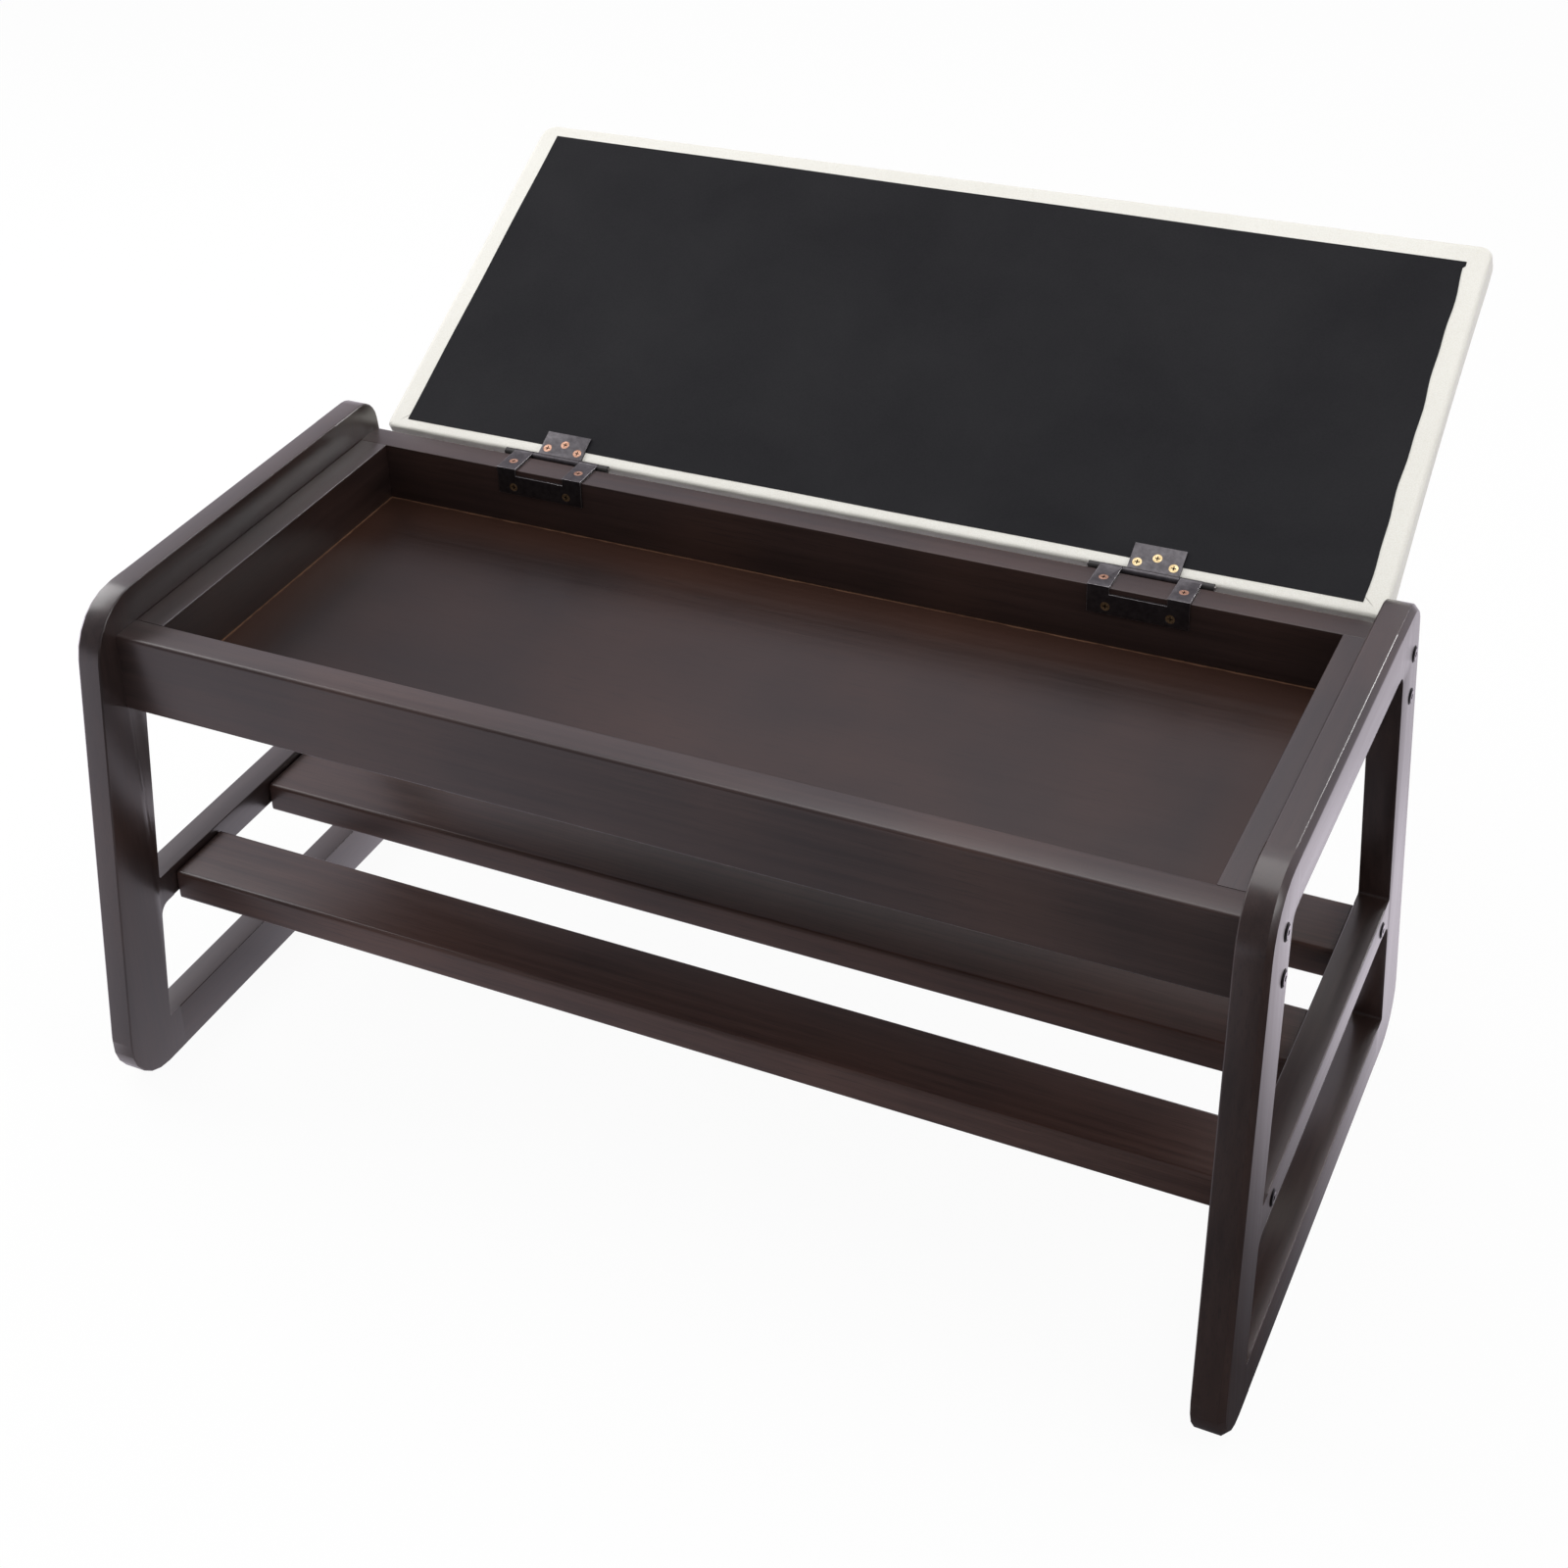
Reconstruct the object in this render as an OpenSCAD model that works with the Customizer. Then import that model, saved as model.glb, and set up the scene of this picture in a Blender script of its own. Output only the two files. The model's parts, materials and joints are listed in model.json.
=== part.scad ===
// Shoe storage bench: two splayed loop side frames, a shallow tray under a padded lid that
// opens on two wrap-around lid hinges, and three shoe slats between the frame rungs.
// Millimetres, +Z up, +X along the bench, +Y to the back. The lid is drawn open.

/* [Overall] */
// Length of the bench over its side frames
bench_l = 900; // [700:10:1100]
// Height of the side frames
bench_h = 420; // [400:5:470]
// Depth of a side frame along its top edge
top_d = 380; // [370:2:420]
// Depth of a side frame along the floor
foot_d = 486; // [460:2:520]

/* [Side frames] */
// Thickness of the frame stock
frame_t = 23; // [18:1:28]
// Width of a leg, measured level
leg_w = 50; // [46:1:60]
// Height of the top rail
top_rail_h = 40; // [32:1:48]
// Height of the bottom rail
bottom_rail_h = 39; // [32:1:48]
// Height of the rung that carries the slats
rung_h = 25; // [20:1:32]
// Height of the rung's underside above the floor
rung_z = 140; // [110:2:160]
// Radius of the frame's front top corner
front_top_r = 50; // [30:1:60]
// Radius of the frame's rear top corner
rear_top_r = 24; // [16:1:50]
// Radius of the frame's foot corners
foot_r = 40; // [24:1:50]
// Radius in the upper corners of the frame's windows
window_r = 10; // [6:1:14]
// Radius in the lower corners of the frame's windows
window_foot_r = 2; // [1:0.5:6]
// Bevel around the frame's outer face
edge_bevel = 4; // [2:0.5:6]
// Easing around the frame's inner face
edge_ease = 1; // [0.5:0.1:2]
// Length of the rungs' tenons into the legs
tenon_l = 24; // [16:1:28]
// Thickness of the rungs' tenons
tenon_t = 9; // [6:1:12]
// Step of the rung above and below its tenons
tenon_step = 6; // [4:0.5:7]

/* [Tray] */
// Thickness of the front apron
apron_t = 26; // [20:1:32]
// Thickness of the rear rail
rear_rail_t = 26; // [24:1:32]
// Thickness of the tray's end walls
wall_t = 25; // [16:1:30]
// Height of the apron, the rear rail and the end walls
tray_h = 65; // [56:1:90]
// Depth of the tray's rim below the top of the frames
rim_drop = 30; // [20:1:40]
// Set-back of the apron behind the front edge of the frames
apron_setback = 17; // [8:1:30]
// Distance of the rear rail's back face behind the frames' rear top corner
rear_proud = 1; // [-8:0.5:3]
// Depth of the tray from its rim to its floor
tray_depth = 50; // [40:1:54]
// Thickness of the floor panel
floor_t = 6; // [4:0.5:8]
// Depth of the grooves that hold the floor panel
groove_d = 6; // [4:0.5:8]
// Play of the floor panel in its grooves
groove_play = 0.2; // [0.1:0.05:0.5]
// Roundover along the apron's and the rear rail's outer edges
bar_outer_r = 3; // [1:0.5:5]
// Easing along the tray's inner rim
rim_r = 0.8; // [0.4:0.1:1.5]

/* [Slats] */
// Width of a slat
slat_w = 61; // [46:1:64]
// Thickness of a slat
slat_t = 26; // [18:1:28]
// Distance between the centres of neighbouring slats
slat_pitch = 129; // [100:1:131]
// Distance of the middle slat behind the middle of the frames
slat_back = 6; // [0:0.5:7]
// Depth of the slats' top below the top of the rungs
slat_drop = 6; // [2:0.5:8]
// Radius along the slats' edges
slat_r = 3; // [2:0.5:8]
// Chamfer around the slats' ends
slat_end_chamfer = 1.5; // [0.5:0.5:3]

/* [Lid] */
// Gap between each end of the padded lid and its side frame
lid_play = 4; // [2:0.5:8]
// Depth of the padded lid
lid_d = 348; // [330:1:360]
// Angle of the open lid from closed
lid_open_angle = 152; // [95:1:158]
// Thickness of the plywood seat board
board_t = 12; // [9:1:18]
// Thickness of the foam over the board
foam_t = 34; // [20:1:50]
// Rise of the cushion's crown at its middle
crown_h = 6; // [2:0.5:12]
// Thickness of the wrapped cover
cover_t = 1.2; // [0.8:0.1:2]
// Radius of the lid's corners seen from above
lid_corner_r = 10; // [8:1:24]
// Draw of the cushion's sides between its corners
side_draw = 2; // [0:0.5:4]
// Width of the cover's fold under the board along its front
fold_w = 14; // [10:1:24]
// Width of the cover's fold under the lid's ends
end_fold_w = 17.5; // [10:0.5:24]
// Width of the cover's fold that shows at the rear, along the hinges
rear_fold_w = 11; // [5:0.5:16]
// Thickness of the black lining under the board
lining_t = 1.2; // [0.8:0.1:2]

/* [Hinges] */
// Distance of each hinge's centre from the end of the bench
hinge_in = 197; // [150:1:260]
// Width of the hinge bracket over its two tabs
bracket_w = 78; // [66:1:90]
// Width of one tab
tab_w = 17; // [14:1:20]
// Thickness of the hinge's steel sheet
sheet_t = 2; // [1.5:0.1:2.4]
// Drop of the bracket's flange down the rear rail
flange_h = 24; // [20:1:30]
// Depth of the notch between the tabs
notch_h = 6.5; // [4:0.5:9]
// Length of the lid leaf from the pin
leaf_l = 27; // [24:1:32]
// Width of the lid leaf
leaf_w = 40; // [32:1:44]
// Outer radius of the knuckles
knuckle_r = 3.2; // [3:0.1:3.8]
// Radius of the hinge pin
pin_r = 1.6; // [1.2:0.1:1.8]
// Stand-out of the torsion inserts past the tabs
insert_out = 9; // [5:0.5:12]
// Height of the closed lid's underside above the tray's rim
lid_gap = 2.6; // [2.5:0.1:4]
// Distance from the pin to the lid's rear edge
lid_edge_gap = 4; // [3.9:0.1:6]

/* [Fasteners] */
// Radius of the frame screws' shank
bolt_r = 2.5; // [2:0.25:3]
// Radius of the frame screws' flat head
bolt_head_r = 6.25; // [5.5:0.25:6.5]
// Height of the frame screws' head above the frame's outer face
bolt_head_h = 1.3; // [1:0.1:2]
// Length of a frame screw below its head
bolt_l = 50; // [40:1:60]
// Radius of the hinge screws' shank
screw_r = 1.75; // [1.5:0.25:2]
// Radius of the hinge screws' countersunk head
screw_head_r = 3.6; // [3:0.1:3.8]
// Length of the bracket screws
bracket_screw_l = 16; // [12:1:20]
// Length of the leaf screws
leaf_screw_l = 12; // [10:1:14]
// Radius of the frame and slat dowels
dowel_r = 4; // [3:0.5:4.5]
// Length of the frame and slat dowels
dowel_l = 36; // [24:1:44]
// Radius of the tray dowels
tray_dowel_r = 3; // [2.5:0.5:4]
// Length of the tray dowels
tray_dowel_l = 24; // [18:1:28]
// Radial clearance round dowels and screws
fit_gap = 0.05; // [0.02:0.01:0.1]

/* [Hidden] */
$fn = 48;

stain = "#3a2b27";
cream = "#e6e1d3";
steel = "#3b3b3e";
brass = "#b08d57";
beech = "#c9a77a";
foam = "khaki";
lining = "#1d1d20";

// Side frame
splay = (foot_d - top_d) / 2 / bench_h;
function leg_out(z) = top_d / 2 + splay * (bench_h - z);
function leg_in(z) = leg_out(z) - leg_w;
rung_top = rung_z + rung_h;
window_top = bench_h - top_rail_h;
middle_t = frame_t / 2;
frame_corners = [
    [-foot_d / 2, 0], [foot_d / 2, 0], [top_d / 2, bench_h], [-top_d / 2, bench_h]
];
frame_radii = [foot_r, foot_r, rear_top_r, front_top_r];
arc_steps = 6;
cut = 1;

// The legs carry the windows' rounded corners, so each rail and rung meets them square:
// its half length, its underside and its top
corner_reach = window_r / tan((90 - atan(splay)) / 2);
joint_in = corner_reach + 2;
BOTTOM = 0;
RUNG = 1;
TOP = 2;
rails = [
    [leg_in(bottom_rail_h) - joint_in, 0, bottom_rail_h],
    [leg_in(rung_top) - joint_in, rung_z, rung_top],
    [leg_in(window_top) - joint_in, window_top, bench_h]
];

// Tray
inner_x = bench_l / 2 - frame_t;
rim_z = bench_h - rim_drop;
tray_z = rim_z - tray_h;
apron_y = -top_d / 2 + apron_setback;
apron_back = apron_y + apron_t;
rail_back = top_d / 2 + rear_proud;
rail_y = rail_back - rear_rail_t;
floor_top = rim_z - tray_depth;

// Slats
slat_top = rung_top - slat_drop;
slat_z = slat_top - slat_t / 2;
slat_gap = 0.2;

// Hinges. The pin lies behind the rear rail, with the tops of the knuckles level with the closed
// lid's underside.
hinge_x = bench_l / 2 - hinge_in;
knuckle_gap = 0.1;
knuckle_wall = 0.85;
pin_y = rail_back + knuckle_r + knuckle_gap;
pin_z = rim_z + lid_gap - knuckle_r;
knuckle_bore_r = knuckle_r - knuckle_wall;
bush_gap = 0.08;
knuckle_play = 0.5;
insert_in = 14;
insert_step = 0.2;
tab_gap = bracket_w - 2 * tab_w;

// Closed lid, measured up from its underside and forward from its rear edge
lid_l = 2 * (inner_x - lid_play);
lid_z = rim_z + lid_gap;
lid_rear = pin_y - lid_edge_gap;
lid_mid = lid_rear - lid_d / 2;
lid_t = cover_t + board_t + foam_t;
board_gap = 0.3;

// Height above the underside, inset from the lid's outline, and share of the draw between corners
cushion_levels = [
    [0, 2.5, 0], [0.8, 0.8, 0], [2.5, 0, 0], [cover_t + board_t, 0, 0.2],
    [cover_t + board_t + foam_t * 0.35, -1, 0.8], [cover_t + board_t + foam_t * 0.7, 1, 1],
    [lid_t - foam_t * 0.1, 6, 1], [lid_t, 15, 0.8],
    [lid_t + crown_h * 0.45, 42, 0.4], [lid_t + crown_h * 0.85, 90, 0], [lid_t + crown_h, 140, 0]
];
corner_steps = 4;
long_steps = 8;
short_steps = 5;

// Frame screws: two into each end of the apron and the rear rail, one into each outer slat
bolt_drops = [12.5, 48];
slat_bolt_ins = [7, 13];
slat_bolt_drop = 8;
bolt_places = concat(
    [for (d = bolt_drops, y = [apron_y + apron_t / 2, rail_y + rear_rail_t / 2]) [y, rim_z - d]],
    [for (k = [0, 1]) let (s = 2 * k - 1)
        [slat_back + s * (slat_pitch + slat_w / 2 - slat_bolt_ins[k]), slat_top - slat_bolt_drop]]
);

// Dowels
slat_dowel_in = 14;
slat_dowel_out = slat_w / 2 - slat_dowel_in;
slat_dowels_y = [for (s = [-1, 1], y = [slat_dowel_out, slat_pitch - slat_dowel_out]) slat_back + s * y];
tray_dowel_drops = [23, 39];
tray_dowel_in = 10;
rail_dowel_spread = 9;
frame_dowel_places = [for (k = [BOTTOM, TOP], s = [-1, 1])
    [rails[k][0], (rails[k][1] + rails[k][2]) / 2 + s * rail_dowel_spread]];

// Hinge screws: tab screws go down, flange screws go back, leaf screws go up into the board
tab_screw_x = (bracket_w - tab_w) / 2;
tab_screw_in = 11;
flange_screw_in = 14.3;
flange_screw_drop = 15;
leaf_screw_spread = 14;
leaf_screw_in = 10.5;
leaf_screw_rise = 6;
head_h = screw_head_r - screw_r;
bolt_rim_h = 0.3;
bolt_top_r = bolt_head_r - 1.75;
bolt_neck_r = bolt_r + 1.1;
bolt_neck_l = 3;
bolt_socket_r = 2.3;
bolt_socket_d = 3;
tip_h = 3;
recess_w = 0.9;
recess_l = 3.8;
recess_h = 1.3;

// The origin stands under the middle of the whole bench with its lid open
function turned(y, z) = pin_y + (y - pin_y) * cos(lid_open_angle) + (z - pin_z) * sin(lid_open_angle);
cushion_ends = [for (s = cushion_levels) turned(lid_rear - lid_d + s[1], lid_z + s[0])];
frame_reach = max([for (p = rounded(frame_corners, frame_radii)) p[0]]);
box_mid_y = (max(concat(cushion_ends, [frame_reach])) - frame_reach) / 2;

function unit(v) = v / norm(v);

// Arc that rounds the corner at b, its radius cut down by inset
function corner_arc(a, b, c, r, inset, n) =
    let (
        u = unit(a - b), w = unit(c - b), half = acos(u * w) / 2,
        centre = b + unit(u + w) * r / sin(half),
        from = b + u * r / tan(half) - centre,
        to = b + w * r / tan(half) - centre,
        start = atan2(from[1], from[0]),
        turn = atan2(from[0] * to[1] - from[1] * to[0], from * to)
    )
    [for (i = [0:n]) centre + (r - inset) * [cos(start + turn * i / n), sin(start + turn * i / n)]];

function rounded(corners, radii, inset = 0, n = arc_steps) =
    let (k = len(corners))
    [for (i = [0:k - 1]) each corner_arc(
        corners[(i + k - 1) % k], corners[i], corners[(i + 1) % k], radii[i], inset, n)];

function box_corners(w, d) = [[-w, -d] / 2, [w, -d] / 2, [w, d] / 2, [-w, d] / 2];

function at_height(outline, z) = [for (p = outline) [p[0], p[1], z]];
function total(v, i = 0) = i < len(v) ? v[i] + total(v, i + 1) : v[0] * 0;

// Closed skin over a stack of rings that each have the same number of points
module loft(rings) {
    n = len(rings[0]);
    last = len(rings) - 1;
    walls = [for (k = [0:last - 1], i = [0:n - 1])
        let (j = (i + 1) % n, a = k * n + i, b = k * n + j, c = a + n, d = b + n)
        each [[a, c, b], [b, c, d]]];
    hub = n * len(rings);
    floor_face = [for (i = [0:n - 1]) [i, (i + 1) % n, hub]];
    top_face = [for (i = [0:n - 1]) [last * n + (i + 1) % n, last * n + i, hub + 1]];
    hubs = [total(rings[0]) / n, total(rings[last]) / n];
    polyhedron([for (r = rings) each r, each hubs], concat(floor_face, walls, top_face));
}

module sides() {
    for (s = [0, 1]) mirror([s, 0, 0]) children();
}

module on_side(side) {
    mirror([side == "left" ? 1 : 0, 0, 0]) children();
}

// Plane of the right side frame: drawn as depth and height, its thickness along X
module in_frame() {
    translate([inner_x, 0, 0]) rotate([90, 0, 90]) children();
}

// Loop of the side frame with its inner face eased and its outer face bevelled, before its
// windows are cut
module frame_blank() {
    layers = [[0, edge_ease], [edge_ease, 0], [frame_t - edge_bevel, 0], [frame_t, edge_bevel]];
    loft([for (l = layers) at_height(rounded(frame_corners, frame_radii, l[1]), l[0])]);
}

module window(z0, z1) {
    corners = [[-leg_in(z0), z0], [leg_in(z0), z0], [leg_in(z1), z1], [-leg_in(z1), z1]];
    translate([0, 0, -cut]) linear_extrude(frame_t + 2 * cut)
        polygon(rounded(corners, [window_foot_r, window_foot_r, window_r, window_r]));
}

// Length of a rail or rung between the legs, a little taller than the wood it is cut from
module rail_zone(k) {
    r = rails[k];
    translate([-r[0], r[1] - cut, -cut]) cube([2 * r[0], r[2] - r[1] + 2 * cut, frame_t + 2 * cut]);
}

module tenons(gap) {
    h = rung_h - 2 * tenon_step + 2 * gap;
    half = rails[RUNG][0] + tenon_l + gap;
    translate([-half, rung_z + tenon_step - gap, middle_t - tenon_t / 2 - gap])
        cube([2 * half, h, tenon_t + 2 * gap]);
}

module frame_dowel_shapes(gap) {
    for (s = [-1, 1], p = frame_dowel_places) translate([s * p[0], p[1], middle_t])
        rotate([0, 90, 0]) cylinder(h = dowel_l + 2 * gap, r = dowel_r + gap, center = true);
}

module slat_dowel_shapes(gap) {
    for (y = slat_dowels_y) translate([y, slat_z, 0])
        cylinder(h = dowel_l + 2 * gap, r = dowel_r + gap, center = true);
}

// Frame screw with a neck under its flat, bevelled head
module bolt_shape() {
    rotate_extrude() polygon([
        [0, bolt_head_h], [bolt_top_r, bolt_head_h], [bolt_head_r, bolt_rim_h], [bolt_head_r, 0],
        [bolt_neck_r, 0], [bolt_neck_r, -bolt_neck_l], [bolt_r, -bolt_neck_l],
        [bolt_r, -bolt_l + tip_h], [0, -bolt_l]
    ]);
}

module bolt_hole_shape() {
    neck = bolt_neck_r + fit_gap;
    shank = bolt_r + fit_gap;
    rotate_extrude() polygon([
        [0, cut], [neck, cut], [neck, -bolt_neck_l - fit_gap], [shank, -bolt_neck_l - fit_gap],
        [shank, -bolt_l + tip_h], [0, -bolt_l]
    ]);
}

// Places of the frame screws, each pointing out of the frame's outer face
module at_bolts() {
    for (p = bolt_places) translate([p[0], p[1], frame_t]) children();
}

module bolt_holes() {
    at_bolts() bolt_hole_shape();
}

module frame_piece() {
    color(stain) in_frame() difference() {
        intersection() {
            frame_blank();
            union() children();
        }
        window(bottom_rail_h, rung_z);
        window(rung_top, window_top);
        frame_dowel_shapes(fit_gap);
        bolt_holes();
        slat_dowel_shapes(fit_gap);
    }
}

module leg(side, front) {
    on_side(side) frame_piece() difference() {
        translate([front < 0 ? -foot_d : 0, -cut, -cut])
            cube([foot_d, bench_h + 2 * cut, frame_t + 2 * cut]);
        for (k = [BOTTOM, RUNG, TOP]) rail_zone(k);
        tenons(fit_gap);
    }
}

module rail(side, k) {
    on_side(side) frame_piece() rail_zone(k);
}

module rung(side) {
    on_side(side) frame_piece() {
        rail_zone(RUNG);
        tenons(0);
    }
}

module frame_dowels(side) {
    color(beech) on_side(side) in_frame() frame_dowel_shapes(0);
}

module frame_screws(side) {
    color(steel) on_side(side) in_frame() at_bolts() difference() {
        bolt_shape();
        translate([0, 0, bolt_head_h - bolt_socket_d])
            cylinder(h = bolt_socket_d + cut, r = bolt_socket_r, $fn = 6);
    }
}

// Holes that the frame screws make in the pieces between the frames
module bolt_holes_both_ends() {
    sides() in_frame() bolt_holes();
}

module floor_panel(play) {
    x = inner_x - wall_t + groove_d - play;
    y0 = apron_back - groove_d + play;
    y1 = rail_y + groove_d - play;
    translate([-x, y0, floor_top - floor_t - (groove_play - play)])
        cube([2 * x, y1 - y0, floor_t + 2 * (groove_play - play)]);
}

module tray_dowel_shapes(gap) {
    ys = [apron_back - tray_dowel_in + tray_dowel_l / 2, rail_y + tray_dowel_in - tray_dowel_l / 2];
    sides() for (d = tray_dowel_drops, y = ys) translate([inner_x - wall_t / 2, y, rim_z - d])
        rotate([90, 0, 0]) cylinder(h = tray_dowel_l + 2 * gap, r = tray_dowel_r + gap, center = true);
}

// Bar between the frames; front is -1 where its outer face looks forward and 1 where it looks back
module tray_bar(y, t, front) {
    corners = [for (c = box_corners(t, tray_h)) c + [y + t / 2, tray_z + tray_h / 2]];
    front_r = front < 0 ? bar_outer_r : rim_r;
    back_r = front < 0 ? rim_r : bar_outer_r;
    color(stain) difference() {
        translate([-inner_x, 0, 0]) rotate([90, 0, 90]) linear_extrude(2 * inner_x)
            polygon(rounded(corners, [front_r, back_r, back_r, front_r]));
        floor_panel(0);
        bolt_holes_both_ends();
        tray_dowel_shapes(fit_gap);
        hinge_screw_holes();
    }
}

module tray_wall(side) {
    corners = [for (c = box_corners(wall_t, tray_h)) c + [inner_x - wall_t / 2, tray_z + tray_h / 2]];
    color(stain) on_side(side) difference() {
        translate([0, rail_y, 0]) rotate([90, 0, 0]) linear_extrude(rail_y - apron_back)
            polygon(rounded(corners, [rim_r, rim_r, rim_r, rim_r]));
        floor_panel(0);
        tray_dowel_shapes(fit_gap);
    }
}

module tray_floor() {
    color(stain) floor_panel(groove_play);
}

module tray_dowels() {
    color(beech) tray_dowel_shapes(0);
}

module slat(place) {
    half = inner_x - slat_gap;
    body = half - slat_end_chamfer;
    profile = box_corners(slat_w, slat_t);
    radii = [slat_r, slat_r, slat_r, slat_r];
    ends = [[-half, slat_end_chamfer], [-body, 0], [body, 0], [half, slat_end_chamfer]];
    color(stain) difference() {
        translate([0, slat_back + place * slat_pitch, slat_z]) rotate([90, 0, 90])
            loft([for (e = ends) at_height(rounded(profile, radii, e[1]), e[0])]);
        bolt_holes_both_ends();
        sides() in_frame() slat_dowel_shapes(fit_gap);
    }
}

module slat_dowels() {
    color(beech) sides() in_frame() slat_dowel_shapes(0);
}

// Screw with its head flush at height 0, pointing down
module wood_screw(l) {
    difference() {
        screw_shape(l, 0);
        for (turn = [0, 90]) rotate([0, 0, turn]) cube([recess_l, recess_w, 2 * recess_h], center = true);
    }
}

module screw_shape(l, gap) {
    rotate_extrude() polygon([
        [0, 0], [screw_head_r + gap, 0], [screw_r + gap, -head_h],
        [screw_r + gap, -l + tip_h], [0, -l - gap]
    ]);
}

module at_hinge(side) {
    translate([side == "left" ? -hinge_x : hinge_x, 0, 0]) children();
}

module at_tab_screws() {
    for (s = [-1, 1]) translate([s * tab_screw_x, rail_y + tab_screw_in, rim_z + sheet_t]) children();
}

module at_flange_screws() {
    x = bracket_w / 2 - flange_screw_in;
    for (s = [-1, 1]) translate([s * x, rail_y - sheet_t, rim_z - flange_screw_drop])
        rotate([90, 0, 0]) children();
}

module at_leaf_screws() {
    for (s = [-1, 0, 1]) let (y = pin_y - leaf_screw_in - (s == 0 ? leaf_screw_rise : 0))
        translate([s * leaf_screw_spread, y, lid_z - sheet_t]) rotate([180, 0, 0]) children();
}

module hinge_screw_holes() {
    for (side = ["left", "right"]) at_hinge(side) {
        at_tab_screws() screw_shape(bracket_screw_l, fit_gap);
        at_flange_screws() screw_shape(bracket_screw_l, fit_gap);
    }
}

module leaf_screw_holes() {
    for (side = ["left", "right"]) at_hinge(side) at_leaf_screws() screw_shape(leaf_screw_l, fit_gap);
}

// Cylinder along X on the pin's axis, from x0 to x1
module on_pin(x0, x1, r) {
    translate([x0, pin_y, pin_z]) rotate([0, 90, 0]) cylinder(h = x1 - x0, r = r);
}

module hinge_bracket(side) {
    w = bracket_w / 2;
    color(steel) at_hinge(side) difference() {
        union() {
            translate([-w, rail_y - sheet_t, rim_z + sheet_t - flange_h])
                cube([bracket_w, sheet_t, flange_h]);
            translate([-w, rail_y - sheet_t, rim_z]) cube([bracket_w, pin_y - rail_y + sheet_t, sheet_t]);
            on_pin(-w, w, knuckle_r);
        }
        translate([-tab_gap / 2, rail_y - sheet_t - cut, rim_z + sheet_t - notch_h])
            cube([tab_gap, pin_y - rail_y + sheet_t + cut, notch_h + cut]);
        on_pin(-tab_gap / 2, tab_gap / 2, knuckle_r + cut);
        on_pin(-w - cut, w + cut, knuckle_bore_r);
        at_tab_screws() screw_shape(bracket_screw_l, fit_gap);
        at_flange_screws() screw_shape(bracket_screw_l, fit_gap);
    }
}

module bracket_screws(side) {
    color(brass) at_hinge(side) {
        at_tab_screws() wood_screw(bracket_screw_l);
        at_flange_screws() wood_screw(bracket_screw_l);
    }
}

module hinge_pin(side) {
    half = bracket_w / 2 + insert_out + cut;
    color(steel) at_hinge(side) on_pin(-half, half, pin_r);
}

module hinge_inserts(side) {
    w = bracket_w / 2;
    color(steel) at_hinge(side) sides() difference() {
        union() {
            on_pin(w - insert_in, w, knuckle_bore_r - fit_gap);
            on_pin(w, w + insert_out, knuckle_r - insert_step);
        }
        on_pin(w - insert_in - cut, w + insert_out + cut, pin_r + fit_gap);
    }
}

module leaf_bush(side) {
    w = tab_gap / 2 - knuckle_play;
    color(steel) open_lid() at_hinge(side) difference() {
        on_pin(-w, w, knuckle_bore_r - fit_gap);
        on_pin(-w - cut, w + cut, pin_r + bush_gap);
    }
}

module hinge_leaf(side) {
    w = tab_gap / 2 - knuckle_play;
    color(steel) open_lid() at_hinge(side) difference() {
        union() {
            translate([-leaf_w / 2, pin_y - leaf_l, lid_z - sheet_t]) cube([leaf_w, leaf_l, sheet_t]);
            on_pin(-w, w, knuckle_r);
        }
        on_pin(-w - cut, w + cut, knuckle_bore_r);
        at_leaf_screws() screw_shape(leaf_screw_l, fit_gap);
    }
}

module leaf_screws(side) {
    color(brass) open_lid() at_hinge(side) at_leaf_screws() wood_screw(leaf_screw_l);
}

// Turns the closed lid about its pin to where it stands open
module open_lid() {
    translate([0, pin_y, pin_z]) rotate([-lid_open_angle, 0, 0]) translate([0, -pin_y, -pin_z]) children();
}

function drawn_side(a, b, n, out, draw) =
    [for (i = [1:n - 1]) let (t = i / n) a + (b - a) * t - out * draw * 4 * t * (1 - t)];

// Outline of the cushion at one level, its sides drawn in between the corners
function cushion_ring(inset, draw) =
    let (
        w = lid_l - 2 * inset, d = lid_d - 2 * inset, r = lid_corner_r + max(inset, 0) / 3,
        p = rounded(box_corners(w, d), [r, r, r, r], 0, corner_steps), n = corner_steps + 1,
        outs = [[0, -1], [1, 0], [0, 1], [-1, 0]],
        steps = [long_steps, short_steps, long_steps, short_steps]
    )
    [for (k = [0:3]) each concat(
        [for (i = [0:n - 1]) p[k * n + i]],
        drawn_side(p[k * n + n - 1], p[((k + 1) % 4) * n], steps[k], outs[k], draw))];

// Cushion shape over its levels from the first up, shrunk on all sides by skin. A shrunk shape
// leaves out the second level, which only eases the bottom edge.
module cushion(first, skin) {
    picked = [for (k = [first:len(cushion_levels) - 1]) if (k != 1 || skin == 0) cushion_levels[k]];
    rings = [for (k = [0:len(picked) - 1])
        let (s = picked[k], lift = first + k == 0 ? skin : s[0] < lid_t ? 0 : -skin)
        at_height(cushion_ring(s[1] + skin, side_draw * s[2]), s[0] + lift)];
    translate([0, lid_mid, lid_z]) loft(rings);
}

module seat_foam() {
    color(foam) open_lid() cushion(3, cover_t);
}

// Opening of the cover under the board, inside its folds, made smaller all round by gap
module fold_opening(gap, t) {
    w = lid_l - 2 * end_fold_w - 2 * gap;
    d = lid_d - fold_w - rear_fold_w - 2 * gap;
    translate([-w / 2, lid_rear - lid_d + fold_w + gap, 0]) cube([w, d, t]);
}

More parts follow.
